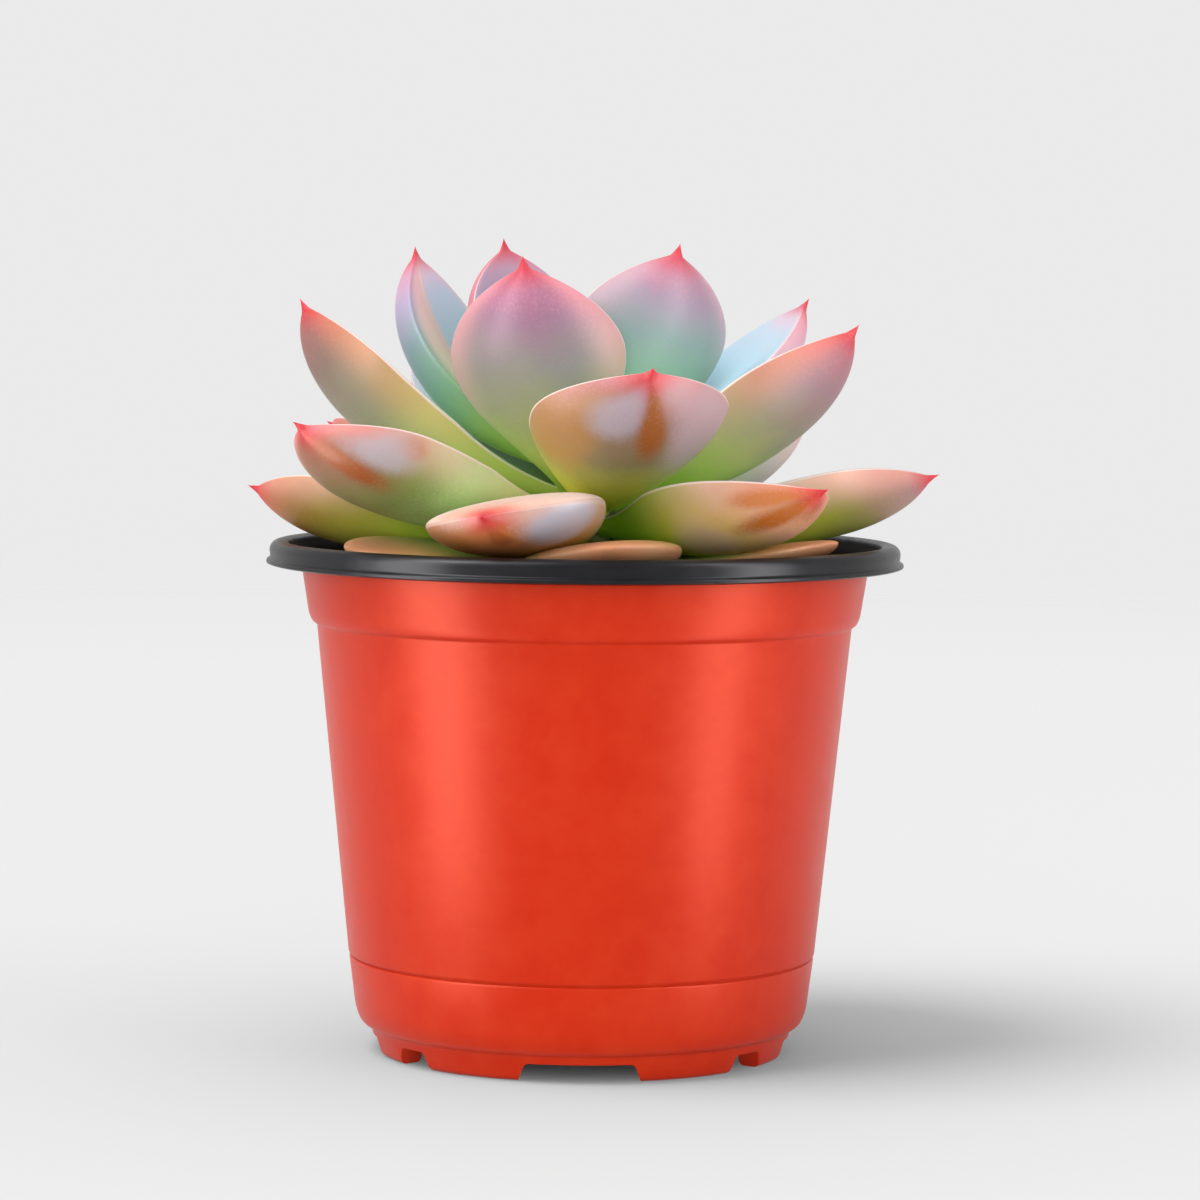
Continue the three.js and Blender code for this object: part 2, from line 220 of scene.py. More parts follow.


# painted shade: the inside wall below the mouth is darkened, with a ragged speckled edge, and its shine
# is taken away
def shadeAndDullInside(material):
    tree = material.node_tree
    shader = tree.nodes["Principled BSDF"]
    tone = shader.inputs["Base Color"].links[0].from_socket
    gloss = shader.inputs["Roughness"].links[0].from_socket
    place = addNode(tree, "TexCoord").outputs["Object"]
    flat = addNode(tree, "VectorMath", {"operation": "MULTIPLY", 1: (1, 1, 0)}, {0: place})
    far = addNode(tree, "VectorMath", {"operation": "LENGTH"}, {0: flat.outputs[0]})
    specks = addNode(tree, "TexNoise", {"Scale": 1 / (pot["shadeSpeck"] * mm), "Detail": 4.0},
                     {"Vector": place})
    drift = addNode(tree, "Math", {"operation": "MULTIPLY_ADD", 1: 0.8 * mm},
                    {0: specks.outputs["Fac"], 2: far.outputs["Value"]})
    start, end = ((pot["mouthRadius"] + beyond) * mm for beyond in pot["shadeFrom"])
    shadeAndMatt = addNode(tree, "MapRange", {1: start, 2: end, 3: 0.0, 4: 1.0}, {0: drift.outputs[0]})
    # painted shade: the wall's colour is darkened towards the inside
    shadedTone = addNode(tree, "Mix", {"data_type": "RGBA", 7: colour(pot["dustAndShade"])},
                    {0: shadeAndMatt.outputs[0], 6: tone})
    matt = addNode(tree, "Mix", {"data_type": "FLOAT", 3: 1.0}, {0: shadeAndMatt.outputs[0], 2: gloss})
    setNode(tree, shader, {}, {"Base Color": shadedTone.outputs[2], "Roughness": matt.outputs[0]})


# the object with what its modifiers do to it, as a bmesh
def evaluated(piece):
    graph = bpy.context.evaluated_depsgraph_get()
    mesh = bpy.data.meshes.new_from_object(piece.evaluated_get(graph))
    bm = bmesh.new()
    bm.from_mesh(mesh)
    bpy.data.meshes.remove(mesh)
    return bm


# cuts the body with one cutter bmesh, rounds the edges that the cut left and closes its slivers
def cutWith(bm, cutter, rounding):
    made = []
    for name, shape in (("cutBody", bm), ("cutTool", cutter)):
        mesh = bpy.data.meshes.new(name)
        shape.to_mesh(mesh)
        shape.free()
        made.append(bpy.data.objects.new(name, mesh))
        scene.collection.objects.link(made[-1])
    body, tool = made
    cut = body.modifiers.new("cut", "BOOLEAN")
    cut.operation, cut.solver, cut.object = "DIFFERENCE", "EXACT", tool
    if rounding:
        soft = body.modifiers.new("round", "BEVEL")
        soft.limit_method, soft.angle_limit = "ANGLE", math.radians(48)
        soft.width, soft.segments = rounding * mm, 3
    result = evaluated(body)
    for piece in made:
        mesh = piece.data
        bpy.data.objects.remove(piece)
        bpy.data.meshes.remove(mesh)
    bmesh.ops.remove_doubles(result, verts=result.verts, dist=0.005 * mm)
    bmesh.ops.dissolve_degenerate(result, edges=result.edges, dist=0.002 * mm)
    return result


# block with a wider foot, standing across the foot ring at one azimuth
def notchCutter(target, azimuth, halfWidth):
    p = pot
    reach = p["footTopRadius"] - p["footInnerRadius"] + 4
    made = bmesh.ops.create_cube(target, size=1.0)["verts"]
    under = -1.0  # the block goes on below the ground, so it flares a little more down there
    for vert in made:
        flare = p["notchFlare"] * 1.3 if vert.co.z < 0 else 0.0
        out = p["footInnerRadius"] - 2 + reach * (vert.co.x + 0.5)
        side = (halfWidth + flare) * (1 if vert.co.y > 0 else -1)
        up = under if vert.co.z < 0 else p["notchHeight"]
        vert.co = Vector((out, side, up)) * mm
    edges = {edge for vert in made for edge in vert.link_edges}
    upper = [e for e in edges if all(abs(v.co.z - p["notchHeight"] * mm) < 1e-6 for v in e.verts)
             and abs(e.verts[0].co.y - e.verts[1].co.y) < 1e-6]
    rounded = bmesh.ops.bevel(target, geom=upper, offset=p["notchRounding"] * mm, segments=3, profile=0.5,
                              affect="EDGES", material=-1)
    block = {v for v in made if v.is_valid} | set(rounded["verts"])
    bmesh.ops.rotate(target, verts=list(block), cent=(0, 0, 0),
                     matrix=Matrix.Rotation(math.radians(azimuth), 3, "Z"))


# drain holes through the floor, on one circle
def drillDrains(cutter):
    p = pot
    for i in range(p["drainHoles"]):
        turn = (i + p["drainTurn"]) / p["drainHoles"] * 2 * math.pi
        hole = bmesh.ops.create_cone(cutter, cap_ends=True, segments=40, depth=p["drillLength"] * mm,
                                     radius1=p["drainRadius"] * mm, radius2=p["drainRadius"] * mm)
        bmesh.ops.translate(cutter, verts=hole["verts"],
                            vec=Vector((math.cos(turn), math.sin(turn), 0)) * p["drainCircle"] * mm
                            + Vector((0, 0, p["drillLength"] / 2 * mm)))


def buildPotOuter():
    p = pot
    floorTop = p["floorUnderside"] + p["floorWall"]
    inside = list(reversed(wallLine(p["wall"], floorTop)))
    profile = [
        (0, p["floorUnderside"]),
        (p["footInnerRadius"], p["floorUnderside"], 0.3),
        (p["footInnerRadius"], 0, 0.7),
        (p["footBottomRadius"], 0, 1.0),
        (p["footTopRadius"], p["stepHeight"] - 0.3, 0.35),
        (p["footTopRadius"] + 0.25, p["stepHeight"] + 0.1, 0.12),
        (p["bandBottomRadius"] - 1.0, p["stepHeight"] + 0.8, 0.6),
        (p["bandBottomRadius"] - 0.02, p["bandBottom"] - 0.4, 1.3),
        (p["bodyBottomRadius"] - 0.1, p["grooveHeight"] - 0.15, 0.3),
        (p["bodyBottomRadius"] - 0.55, p["grooveHeight"] + 0.05, 0.08),
        (p["bodyBottomRadius"] + 0.02, p["grooveHeight"] + 0.5, 0.25),
        (p["bodyTopRadius"], p["ledgeHeight"] - 0.6, 0.2),
        (p["collarBottomRadius"] - 0.35, p["ledgeHeight"] + 0.0, 0.2),
        (p["collarBottomRadius"] + 0.2, p["ledgeHeight"] + 1.1, 0.7),
        (p["collarTopRadius"], p["rimUnderside"] - p["gap"], 0.15),
        *inside,
        (0, floorTop),
    ]
    bm = turnProfile(profile, p["steps"])
    cutter = bmesh.new()
    for azimuth, halfWidth in p["notches"]:
        notchCutter(cutter, azimuth, halfWidth)
    drillDrains(cutter)
    bmesh.ops.recalc_face_normals(cutter, faces=cutter.faces)
    cut = cutWith(bm, cutter, p["footRounding"])
    skin = pressedPlastic("pressed polypropylene, red", p["red"])
    layer = addPiece("potOuterLayer", cut, skin, ["pot_outer_layer"], p["sharpAngle"])
    layer.visible_diffuse = False  # keeps the white paper beside it free of red light
    return layer


# the black layer inside, whose edge is rolled over into the rim with a thin flared lip
def buildPotInner():
    p = pot
    outset = p["wall"] + p["gap"]
    floorBottom = p["floorUnderside"] + p["floorWall"] + p["gap"]
    profile = [
        (0, floorBottom),
        *wallLine(outset, floorBottom),
        (p["collarTopRadius"] - outset, p["rimUnderside"]),
        (p["rimRadius"] - 0.8, p["rimUnderside"], 0.15),
        (p["rimRadius"], p["rimUnderside"] + 0.25, 0.12),
        (p["rimRadius"] - 0.02, p["rimUnderside"] + 0.8, 0.2),
        (p["rimRadius"] - 0.7, p["rimUnderside"] + 1.15, 0.3),
        (p["rimRadius"] - 0.45, p["height"] - 1.0, 0.9),
        (p["rimTopRadius"] + 0.3, p["height"], 0.8),
        (p["rimTopRadius"] - 1.2, p["height"] - 0.35, 0.5),
        (p["mouthRadius"] - 0.2, p["height"] - 1.2, 0.6),
        (p["mouthRadius"] - 1.8, p["height"] - 2.2, 0.6),
        (p["mouthRadius"] - 3, p["height"] - 4, 0.5),
        *reversed(wallLine(outset + p["wall"], floorBottom + p["floorWall"])),
        (0, floorBottom + p["floorWall"]),
    ]
    bm = turnProfile(profile, p["steps"])
    cutter = bmesh.new()
    drillDrains(cutter)
    cut = cutWith(bm, cutter, 0)
    skin = pressedPlastic("pressed polypropylene, black", p["black"])
    shadeAndDullInside(skin)
    return addPiece("potInnerLayerAndRim", cut, skin, ["pot_inner_layer_and_rim"],
                    p["sharpAngle"])


buildPotOuter()
buildPotInner()
print("pot: both layers made")


# soil

soil = {
    "top": 81.3,
    "mound": 0.7,
    "moundRadius": 44,
    "relief": 0.45,
    "edgeRadius": 45.6,
    # (radius, height) down the inside of the pot to its floor
    "side": [(45.0, 74.9), (43.8, 73.4), (38.2, 18.0), (37.0, 9.7), (33.4, 6.7)],
    "rings": 37,
    "ringWidth": 1.2,
    "steps": 150,
    "grains": 900,
    "grainsFrom": 6.5,
    "grainsReach": 38,
    "grainSizes": [0.35, 0.45, 0.55, 0.7, 0.9],
    "grainStretch": [(0.7, 1.6), (0.6, 1.0), (0.5, 0.8)],
    "grainTilt": 0.5,
    "grainJitter": 0.25,
    "grainTones": [0.05, 0.2, 0.35, 0.5, 0.6, 0.7, 0.95],
    "seed": 11,
    "crumb": 1.6,
    "speck": 0.5,
    "wet": "#120B07",
    "peat": "#2B1D14",
    "dustAndShade": "#4A3626",
    # grains from dark bark through grit to perlite, by the tone that each carries
    "grainColours": [(0.0, "#1A110B"), (0.45, "#3F2A1B"), (0.7, "#6B4A2F"), (0.85, "#9A8A76"),
                     (1.0, "#CFC8BA")],
}


# the height of the surface over one point: the low mound with broad and fine relief
def soilHeight(x, y):
    s = soil
    far = math.hypot(x, y)
    rough = noise.noise(Vector((x, y, 3.0)) * 0.35) * 0.6 + noise.noise(Vector((x, y, 9.0)) * 1.1) * 0.4
    return s["top"] + s["mound"] * (1 - (far / s["moundRadius"]) ** 2) + s["relief"] * rough - 0.15


# damp peat mix: dark, matt and crumbly, with lighter dust on the high crumbs
def peatMaterial():
    material, tree, shader = newMaterial("damp peat mix")
    place = addNode(tree, "TexCoord").outputs["Object"]
    crumbs = addNode(tree, "TexNoise",
                     {"Scale": 1 / (soil["crumb"] * mm), "Detail": 6.0, "Roughness": 0.7},
                     {"Vector": place})
    tone = addNode(tree, "ValToRGB", {}, {0: crumbs.outputs["Fac"]})
    setStops(tone, [(0.3, soil["wet"]), (0.5, soil["peat"]), (0.72, soil["dustAndShade"])])
    bump = addNode(tree, "Bump", {"Strength": 0.9, "Distance": 0.6 * mm},
                   {"Height": crumbs.outputs["Fac"]})
    setNode(tree, shader, {"Roughness": 0.92, "Specular IOR Level": 0.3},
            {"Base Color": tone.outputs[0], "Normal": bump.outputs[0]})
    return material


# bark, grit and perlite grains, each tinted by the tone that its mesh carries
def grainMaterial():
    material, tree, shader = newMaterial("bark, grit and perlite")
    tint = addNode(tree, "Attribute", {"attribute_name": "grainTone"})
    place = addNode(tree, "TexCoord").outputs["Object"]
    specks = addNode(tree, "TexNoise", {"Scale": 1 / (soil["speck"] * mm), "Detail": 4.0},
                     {"Vector": place})
    shift = addNode(tree, "Math", {"operation": "MULTIPLY_ADD", 1: 0.18, 2: -0.09},
                    {0: specks.outputs["Fac"]})
    value = addNode(tree, "Math", {"operation": "ADD"},
                    {0: tint.outputs["Fac"], 1: shift.outputs[0]})
    tone = addNode(tree, "ValToRGB", {}, {0: value.outputs[0]})
    setStops(tone, soil["grainColours"])
    bump = addNode(tree, "Bump", {"Strength": 0.6, "Distance": 0.15 * mm},
                   {"Height": specks.outputs["Fac"]})
    setNode(tree, shader, {"Roughness": 0.85}, {"Base Color": tone.outputs[0], "Normal": bump.outputs[0]})
    return material


def buildSoilBody():
    s = soil
    profile = [(0, s["top"] + s["mound"])]
    profile += [(ring * s["ringWidth"], s["top"]) for ring in range(1, s["rings"] + 1)]
    profile += [(s["edgeRadius"], s["top"] - 0.6), *s["side"], (0, s["side"][-1][1])]
    bm = turnProfile(profile, s["steps"])
    for vert in bm.verts:
        x, y, z = vert.co / mm
        if z > s["top"] - 0.1:
            vert.co.z = soilHeight(x, y) * mm
    addPiece("pottingSoil", bm, peatMaterial(), ["potting_soil"])


# loose grains on the surface, from bark to perlite
def buildGrit():
    s = soil
    rnd = random.Random(s["seed"])
    bm = bmesh.new()
    tone = bm.verts.layers.float.new("grainTone")
    for i in range(s["grains"]):
        far = s["grainsFrom"] + s["grainsReach"] * math.sqrt(rnd.random())
        turn = rnd.random() * 2 * math.pi
        size = rnd.choice(s["grainSizes"])
        x, y = far * math.cos(turn), far * math.sin(turn)
        made = bmesh.ops.create_icosphere(bm, subdivisions=1, radius=size * mm)["verts"]
        stretch = [rnd.uniform(*span) for span in s["grainStretch"]]
        spin = Matrix.Rotation(rnd.random() * 6.28, 3, "Z")
        spin = spin @ Matrix.Rotation(rnd.uniform(-s["grainTilt"], s["grainTilt"]), 3, "X")
        shade = rnd.choice(s["grainTones"])
        for vert in made:
            jitter = 1 + s["grainJitter"] * (rnd.random() - 0.5)
            vert.co = spin @ (Vector(a * b for a, b in zip(vert.co, stretch)) * jitter)
            vert.co += Vector((x, y, soilHeight(x, y) + 0.15 * size)) * mm
            vert[tone] = shade
    addPiece("soilGrit", bm, grainMaterial(), ["potting_soil"])


buildSoilBody()
buildGrit()
print("soil: surface and grit made")


# leaves

leafShape = {
    "rim": pot["height"],
    "stemRadius": 5.0,
    "stemTipRadius": 2.8,
    "stemShoulder": 94.5,
    "stemTaper": 0.2,
    "stemClearance": 0.9,
    "baseWidth": 0.23,
    "baseThickness": 0.34,
    "innerFaceShare": 0.32,
    "upperShare": 0.15,
    "edge": 1.15,
    "hollow": 0.15,
    "widest": 0.62,
    "twistShare": 0.4,
    "footReach": 0.03,  # how far the foot goes back past the start, as a share of the length
    "endRings": 0.07,  # draws the rings closer together at both ends
    "closing": 1.5,  # rings over which the ends close
    "sharperTip": 0.4,
    "wobble": 0.02,
    "spike": 2.2,
    "spikeWidth": 0.5,
    "spikeThickness": 0.75,
    "sides": 56,
    "rings": 84,
}

# the skin of every leaf: sizes of its colour clouds, flecks, red points and relief in millimetres
leafFinish = {
    "cloud": 11,
    "fleck": 0.55,
    "tipLength": 5.5,
    "swell": 0.3,
    "powder": 0.03,
    # the pale margin line is partly the margin's own colour and partly a painted highlight
    "paleMarginAndHighlight": "#FBE6DE",
    "bloomColour": "#E4DFE4",
    "bloom": 0.07,
    "roughness": (0.42, 0.56),
    "wornRoughness": 0.3,
    # flesh under the skin: how much light goes through it, how deep, and how far each of red, green, blue
    "flesh": 0.18,
    "fleshDepth": 2.0,
    "fleshRadius": (1.0, 0.55, 0.4),
}

oldForm = {"hollow": 0, "spike": 0.0, "edge": 0.8, "upperShare": 0.42}  # old leaves are blunt pads

# azimuth it points to, height of its foot over the pot, slope at foot and tip, then sizes in millimetres
leaves = {
    "inner_leaf_1": {"azimuth": 18, "height": 12, "lift": (32, 47), "length": 45, "width": 28,
                     "thickness": 9.5},
    "inner_leaf_2": {"azimuth": 55, "height": 15.5, "lift": (59, 67), "length": 34.5, "width": 25,
                     "thickness": 8.5, "twist": -5},
    "inner_leaf_3": {"azimuth": 95, "height": 11, "lift": (40, 52), "length": 42.5, "width": 28,
                     "thickness": 8.5, "twist": -10},
    "inner_leaf_4": {"azimuth": 147, "height": 19, "lift": (55, 78), "length": 34, "width": 28,
                     "thickness": 10, "twist": -5},
    "inner_leaf_5": {"azimuth": 158, "height": 14.5, "lift": (25, 76), "length": 45.5, "width": 29,
                     "thickness": 10},
    "inner_leaf_6": {"azimuth": 244, "height": 10.5, "lift": (47, 77), "length": 41.5, "width": 30,
                     "thickness": 10, "twist": 15},
    "inner_leaf_7": {"azimuth": 325, "height": 14, "lift": (64, 72), "length": 38, "width": 28.5,
                     "thickness": 10, "twist": -30},
    "middle_leaf_1": {"azimuth": 36, "height": 4, "lift": (18, 32), "length": 45.5, "width": 28.5,
                      "thickness": 10, "twist": -20},
    "middle_leaf_2": {"azimuth": 65, "height": 7.5, "lift": (26, 43), "length": 48.5, "width": 28,
                      "thickness": 7.5},
    "middle_leaf_3": {"azimuth": 94, "height": 5, "lift": (11, 33), "length": 53.5, "width": 27.5,
                      "thickness": 7.5, "twist": -5},
    "middle_leaf_4": {"azimuth": 127, "height": 7.5, "lift": (25, 39), "length": 47.5, "width": 28,
                      "thickness": 8, "twist": 5},
    "middle_leaf_5": {"azimuth": 143, "height": 3.5, "lift": (16, 17), "length": 53, "width": 27.5,
                      "thickness": 9, "twist": 20},
    "middle_leaf_6": {"azimuth": 185, "height": 9, "lift": (18, 53), "length": 53.5, "width": 29,
                      "thickness": 11, "twist": 10, "widest": 0.7},
    "middle_leaf_7": {"azimuth": 218, "height": 6, "lift": (4, 26), "length": 55.5, "width": 28,
                      "thickness": 9.5, "twist": 15, "widest": 0.7},
    "middle_leaf_8": {"azimuth": 281, "height": 6.5, "lift": (25, 26), "length": 54.5, "width": 33,
                      "thickness": 10, "widest": 0.66},
    "middle_leaf_9": {"azimuth": 339, "height": 8, "lift": (25, 43), "length": 51, "width": 29,
                      "thickness": 10, "twist": -10},
    "outer_leaf_1": {"azimuth": -4, "height": 1, "lift": (12, 11), "length": 54, "width": 28,
                     "thickness": 10, "twist": -12, "widest": 0.7},
    "outer_leaf_2": {"azimuth": 70, "height": 0.5, "lift": (3, 12), "length": 50, "width": 28,
                     "thickness": 10, "twist": 5},
    "outer_leaf_3": {"azimuth": 118, "height": -1.5, "lift": (6, 12), "length": 51.5, "width": 27.5,
                     "thickness": 9, "twist": -5},
    "outer_leaf_4": {"azimuth": 171, "height": 0, "lift": (8, 10), "length": 52.5, "width": 29,
                     "thickness": 9.5, "twist": 15, "widest": 0.7},
    "outer_leaf_5": {"azimuth": 253, "height": 2, "lift": (11, 0), "length": 49.5, "width": 29.5,
                     "thickness": 10, "twist": 10, "hollow": 0, "widest": 0.7, "edge": 0.85,
                     "upperShare": 0.3},
    "outer_leaf_6": {"azimuth": 311, "height": 3.5, "lift": (6, 10), "length": 53, "width": 26,
                     "thickness": 10.5, "twist": -12},
    "ground_leaf_1": {"azimuth": 214, "height": -3, "lift": (3, 4), "length": 42, "width": 29,
                      "thickness": 5, "twist": -5, **oldForm},
    "ground_leaf_2": {"azimuth": 275, "height": -4, "lift": (5, 10), "length": 42.5, "width": 27,
                      "thickness": 5.5, "twist": 5, **oldForm},
    "ground_leaf_3": {"azimuth": 332, "height": -3.5, "lift": (-1, 14), "length": 42.5, "width": 27,
                      "thickness": 4.5, **oldForm},
}

# where the colours of a look lie, from foot (0) to tip (1)
stopsAt = {"middle": (0.0, 0.25, 0.45, 0.62, 0.8, 0.95), "edges": (0.2, 0.45, 0.7, 0.93),
           "inside": (0.08, 0.35, 0.62, 0.82, 0.96)}

# middle and edges colour the outside of a leaf and inside its upper face; wrap turns the outside
# colours that many degrees over one edge; a rub is (across, along), (size across, size along),
# colour, strength
# painted light: in this look and the ones below, the colours towards the foot are lighter and more vivid
# than the leaf's own skin, to make up for the shade deep in the rosette
plainLook = {
    "middle": ["#A8D030", "#B8CC60", "#A8B480", "#9C988C", "#A48A94", "#CC7688"],
    "edges": ["#C4D080", "#CDC49A", "#D09E96", "#DE8490"],
    "inside": ["#A4CC70", "#B4DCD4", "#C0E0EE", "#DCC4D6", "#EE92A2"],
    "tip": "#DA2C3A",
    # how strongly the pale margin line shows, partly its own colour and partly painted highlight
    "line": 0.85,
    "wrap": 0,
    "rubs": [],
}
looks = {
    "inner_leaf_1": {
        "middle": ["#B0D878", "#B8D8A0", "#B8C8C0", "#C8C0CC", "#E0B8CC", "#F090A4"],
        "edges": ["#D8E0B8", "#F4D8D0", "#FACCD4", "#F8A4B4"],
        "inside": ["#A8D0A0", "#B8E4F0", "#BEE6F8", "#CCDCEC", "#F0BCCC"]},
    "inner_leaf_4": {
        "edges": ["#C4D080", "#DCA0A4", "#E08C98", "#EC7888"],
        "inside": ["#B0D0B0", "#B0C0D8", "#B0B0CC", "#CCA4BC", "#E88C9C"]},
    "inner_leaf_5": {
        # painted light: its edges and upper face are painted paler than its skin, to make up for the
        # shade on the face that turns away from the lamps
        "middle": ["#C0E058", "#C4E080", "#A9D0A8", "#A4BCBC", "#BCAECC", "#F090A4"],
        "edges": ["#F0FC8C", "#F4FCD0", "#FFE8DC", "#FFC0CC"],
        "inside": ["#B8E0A8", "#CCF0FF", "#CCF0FF", "#D8E8FF", "#FFC8D8"],
        "wrap": 72},
    "inner_leaf_6": {
        "middle": ["#B8D43C", "#C8D470", "#A6A67C", "#98908A", "#A0748C", "#CC7690"],
        "edges": ["#C0CC74", "#D2BC9C", "#DCA0A2", "#F098A4"]},
    "inner_leaf_7": {
        "middle": ["#A8D870", "#A4D498", "#A0CAAA", "#98AEA8", "#AC94A8", "#D88296"],
        "edges": ["#B0D0A0", "#B4C4B4", "#CBB0BA", "#DCA0B0"]},
    "middle_leaf_1": {
        "middle": ["#B8D880", "#D0DCA8", "#DCDCC0", "#E0D4C8", "#ECC4BC", "#F0988C"],
        "edges": ["#E0E8C0", "#ECE8D4", "#F4DCD0", "#F4B0A4"]},
    "middle_leaf_6": {
        "middle": ["#9CC030", "#C4D468", "#B8C074", "#9E9879", "#8E7568", "#A8625F"],
        "edges": ["#CDD76B", "#D9C476", "#C29468", "#D06C5C"]},
    "middle_leaf_7": {
        "middle": ["#A8E040", "#B8E878", "#BEE894", "#8C9F55", "#9A7852", "#A8503C"],
        "edges": ["#E4F0B0", "#CDDEA7", "#D5A996", "#E08A88"],
        "rubs": [((0.36, 0.84), (0.19, 0.14), "#AA5824", 1.0),
                 ((0.88, 0.72), (0.1, 0.05), "#C87840", 0.55),
                 ((0.74, 0.78), (0.22, 0.1), "#C0BCC8", 0.65)]},
    "middle_leaf_8": {
        "middle": ["#D8F028", "#E0EC40", "#B4BA50", "#908860", "#94705C", "#BC6E6C"],
        "edges": ["#D0E060", "#B8B468", "#BE8C7C", "#D68A90"],
        "rubs": [((0.7, 0.7), (0.4, 0.22), "#C8A8B0", 0.75),
                 ((-0.75, 0.68), (0.35, 0.2), "#BC8844", 0.7),
                 ((-0.38, 0.84), (0.34, 0.1), "#B8ACB8", 0.75),
                 ((0.12, 0.79), (0.18, 0.16), "#A0581C", 1.0)]},
    "middle_leaf_9": {
        "middle": ["#B8E040", "#B8DC50", "#BAC171", "#A3997D", "#A38086", "#C86B78"],
        "edges": ["#C8E070", "#CBC28F", "#CE9276", "#DD736D"]},
    "outer_leaf_1": {
        "middle": ["#A8D830", "#B0D040", "#B8CC48", "#B5C548", "#A58864", "#AF8086"],
        "edges": ["#D8E8A0", "#F0D8B8", "#F7C1AA", "#DD928A"]},
    "outer_leaf_4": {
        "middle": ["#90D020", "#A8D030", "#C8D848", "#D0C848", "#AE7C3C", "#C8684C"],
        "edges": ["#98B840", "#A8B048", "#EFBE98", "#DE8872"]},
    "outer_leaf_5": {
        "middle": ["#B0C840", "#C8B848", "#D0A040", "#D89448", "#E89050", "#C86C3C"],
        "edges": ["#C8C880", "#D0B088", "#D0A890", "#DCA898"],
        "inside": ["#C8B868", "#E8C8A8", "#F4E0DC", "#F0D0C0", "#E89878"],
        "line": 0.3,
        "rubs": [((0.72, 0.76), (0.42, 0.13), "#C8C4D0", 0.95),
                 ((-0.75, 0.78), (0.35, 0.12), "#C87830", 0.8),
                 ((0.05, 0.88), (0.2, 0.07), "#B85C24", 0.8)]},
    "outer_leaf_6": {
        "middle": ["#A8F020", "#B8F028", "#E0E050", "#FCD878", "#E4A880", "#A85828"],
        "edges": ["#90C418", "#B0B850", "#E5B79B", "#DD8160"],
        "rubs": [((-0.42, 0.88), (0.2, 0.15), "#BC6418", 0.95),
                 ((-0.82, 0.86), (0.12, 0.11), "#D07838", 0.85),
                 ((-0.35, 0.56), (0.4, 0.1), "#ECCCC4", 0.5)]},
}
# leaves of the side that the photograph doesn't show look like leaves that it does
lookAlikes = {
    "inner_leaf_2": "inner_leaf_7",
    "inner_leaf_3": "inner_leaf_6",
    "middle_leaf_2": "middle_leaf_9",
    "middle_leaf_3": "middle_leaf_6",
    "middle_leaf_4": "inner_leaf_7",
    "middle_leaf_5": "middle_leaf_9",
    "outer_leaf_2": "outer_leaf_1",
    "outer_leaf_3": "outer_leaf_4",
}
looks.update({hidden: looks[shown] for hidden, shown in lookAlikes.items()})
oldLook = {
    "middle": ["#6A8830", "#8A9A48", "#C08848", "#D8945C", "#DC9C68", "#D89468"],
    "edges": ["#7C9450", "#B09050", "#DCA070", "#E4AC80"],
    "inside": ["#5A8222", "#78A030", "#9CAC58", "#D8A870", "#D89468"],
    "tip": "#D89468",
    "line": 0.0,
}


def smooth(low, high, value):
    t = min(max((value - low) / (high - low), 0.0), 1.0)
    return t * t * (3 - 2 * t)


# the half width of the spike, or its thickness, at a share of the leaf's length
def spikeAt(share, leaf, base):
    spike = leaf.get("spike", leafShape["spike"])
    left = max((1 + leafShape["spike"] / leaf["length"] - share) * leaf["length"], 0)
    return base * spike * min(left / leafShape["spike"], 1.2) ** 1.25


def halfWidthAt(share, leaf):
    s = leafShape
    widest = leaf.get("widest", s["widest"])
    rise = math.sin(math.pi / 2 * min(max(share, 0) / widest, 1)) ** 1.55
    beyond = min(max((share - widest) / (1 - widest), 0), 1)
    blade = leaf["width"] / 2 * (s["baseWidth"] + (1 - s["baseWidth"]) * rise) * (1 - beyond ** 2) ** 0.8
    return (blade ** 3 + spikeAt(share, leaf, s["spikeWidth"]) ** 3) ** (1 / 3)


def thicknessAt(share, leaf):
    s = leafShape
    rise = math.sin(math.pi / 2 * min(2 * max(share, 0), 1))
    beyond = min(max(2 * share - 1, 0), 1)
    full = s["baseThickness"] + (1 - s["baseThickness"]) * rise
    blade = leaf["thickness"] * full * (1 - beyond ** 3) ** 0.62
    return (blade ** 3 + spikeAt(share, leaf, s["spikeThickness"]) ** 3) ** (1 / 3) * 0.975


# the point of the leaf's middle line at a share of its length: outward, up, and its slope
def spineAt(share, leaf):
    s = leafShape
    start, end = (math.radians(a) for a in leaf["lift"])
    bend = (end - start) or 1e-6
    radius = leaf["length"] / bend
    base = s["rim"] + leaf["height"]
    stem = max(s["stemRadius"] - s["stemTaper"] * max(base - s["stemShoulder"], 0), s["stemTipRadius"])
    foot = leaf.get("foot", stem + s["stemClearance"])
    angle = start + bend * share
    return (foot + radius * (math.sin(angle) - math.sin(start)),
            base + radius * (math.cos(start) - math.cos(angle)), angle)


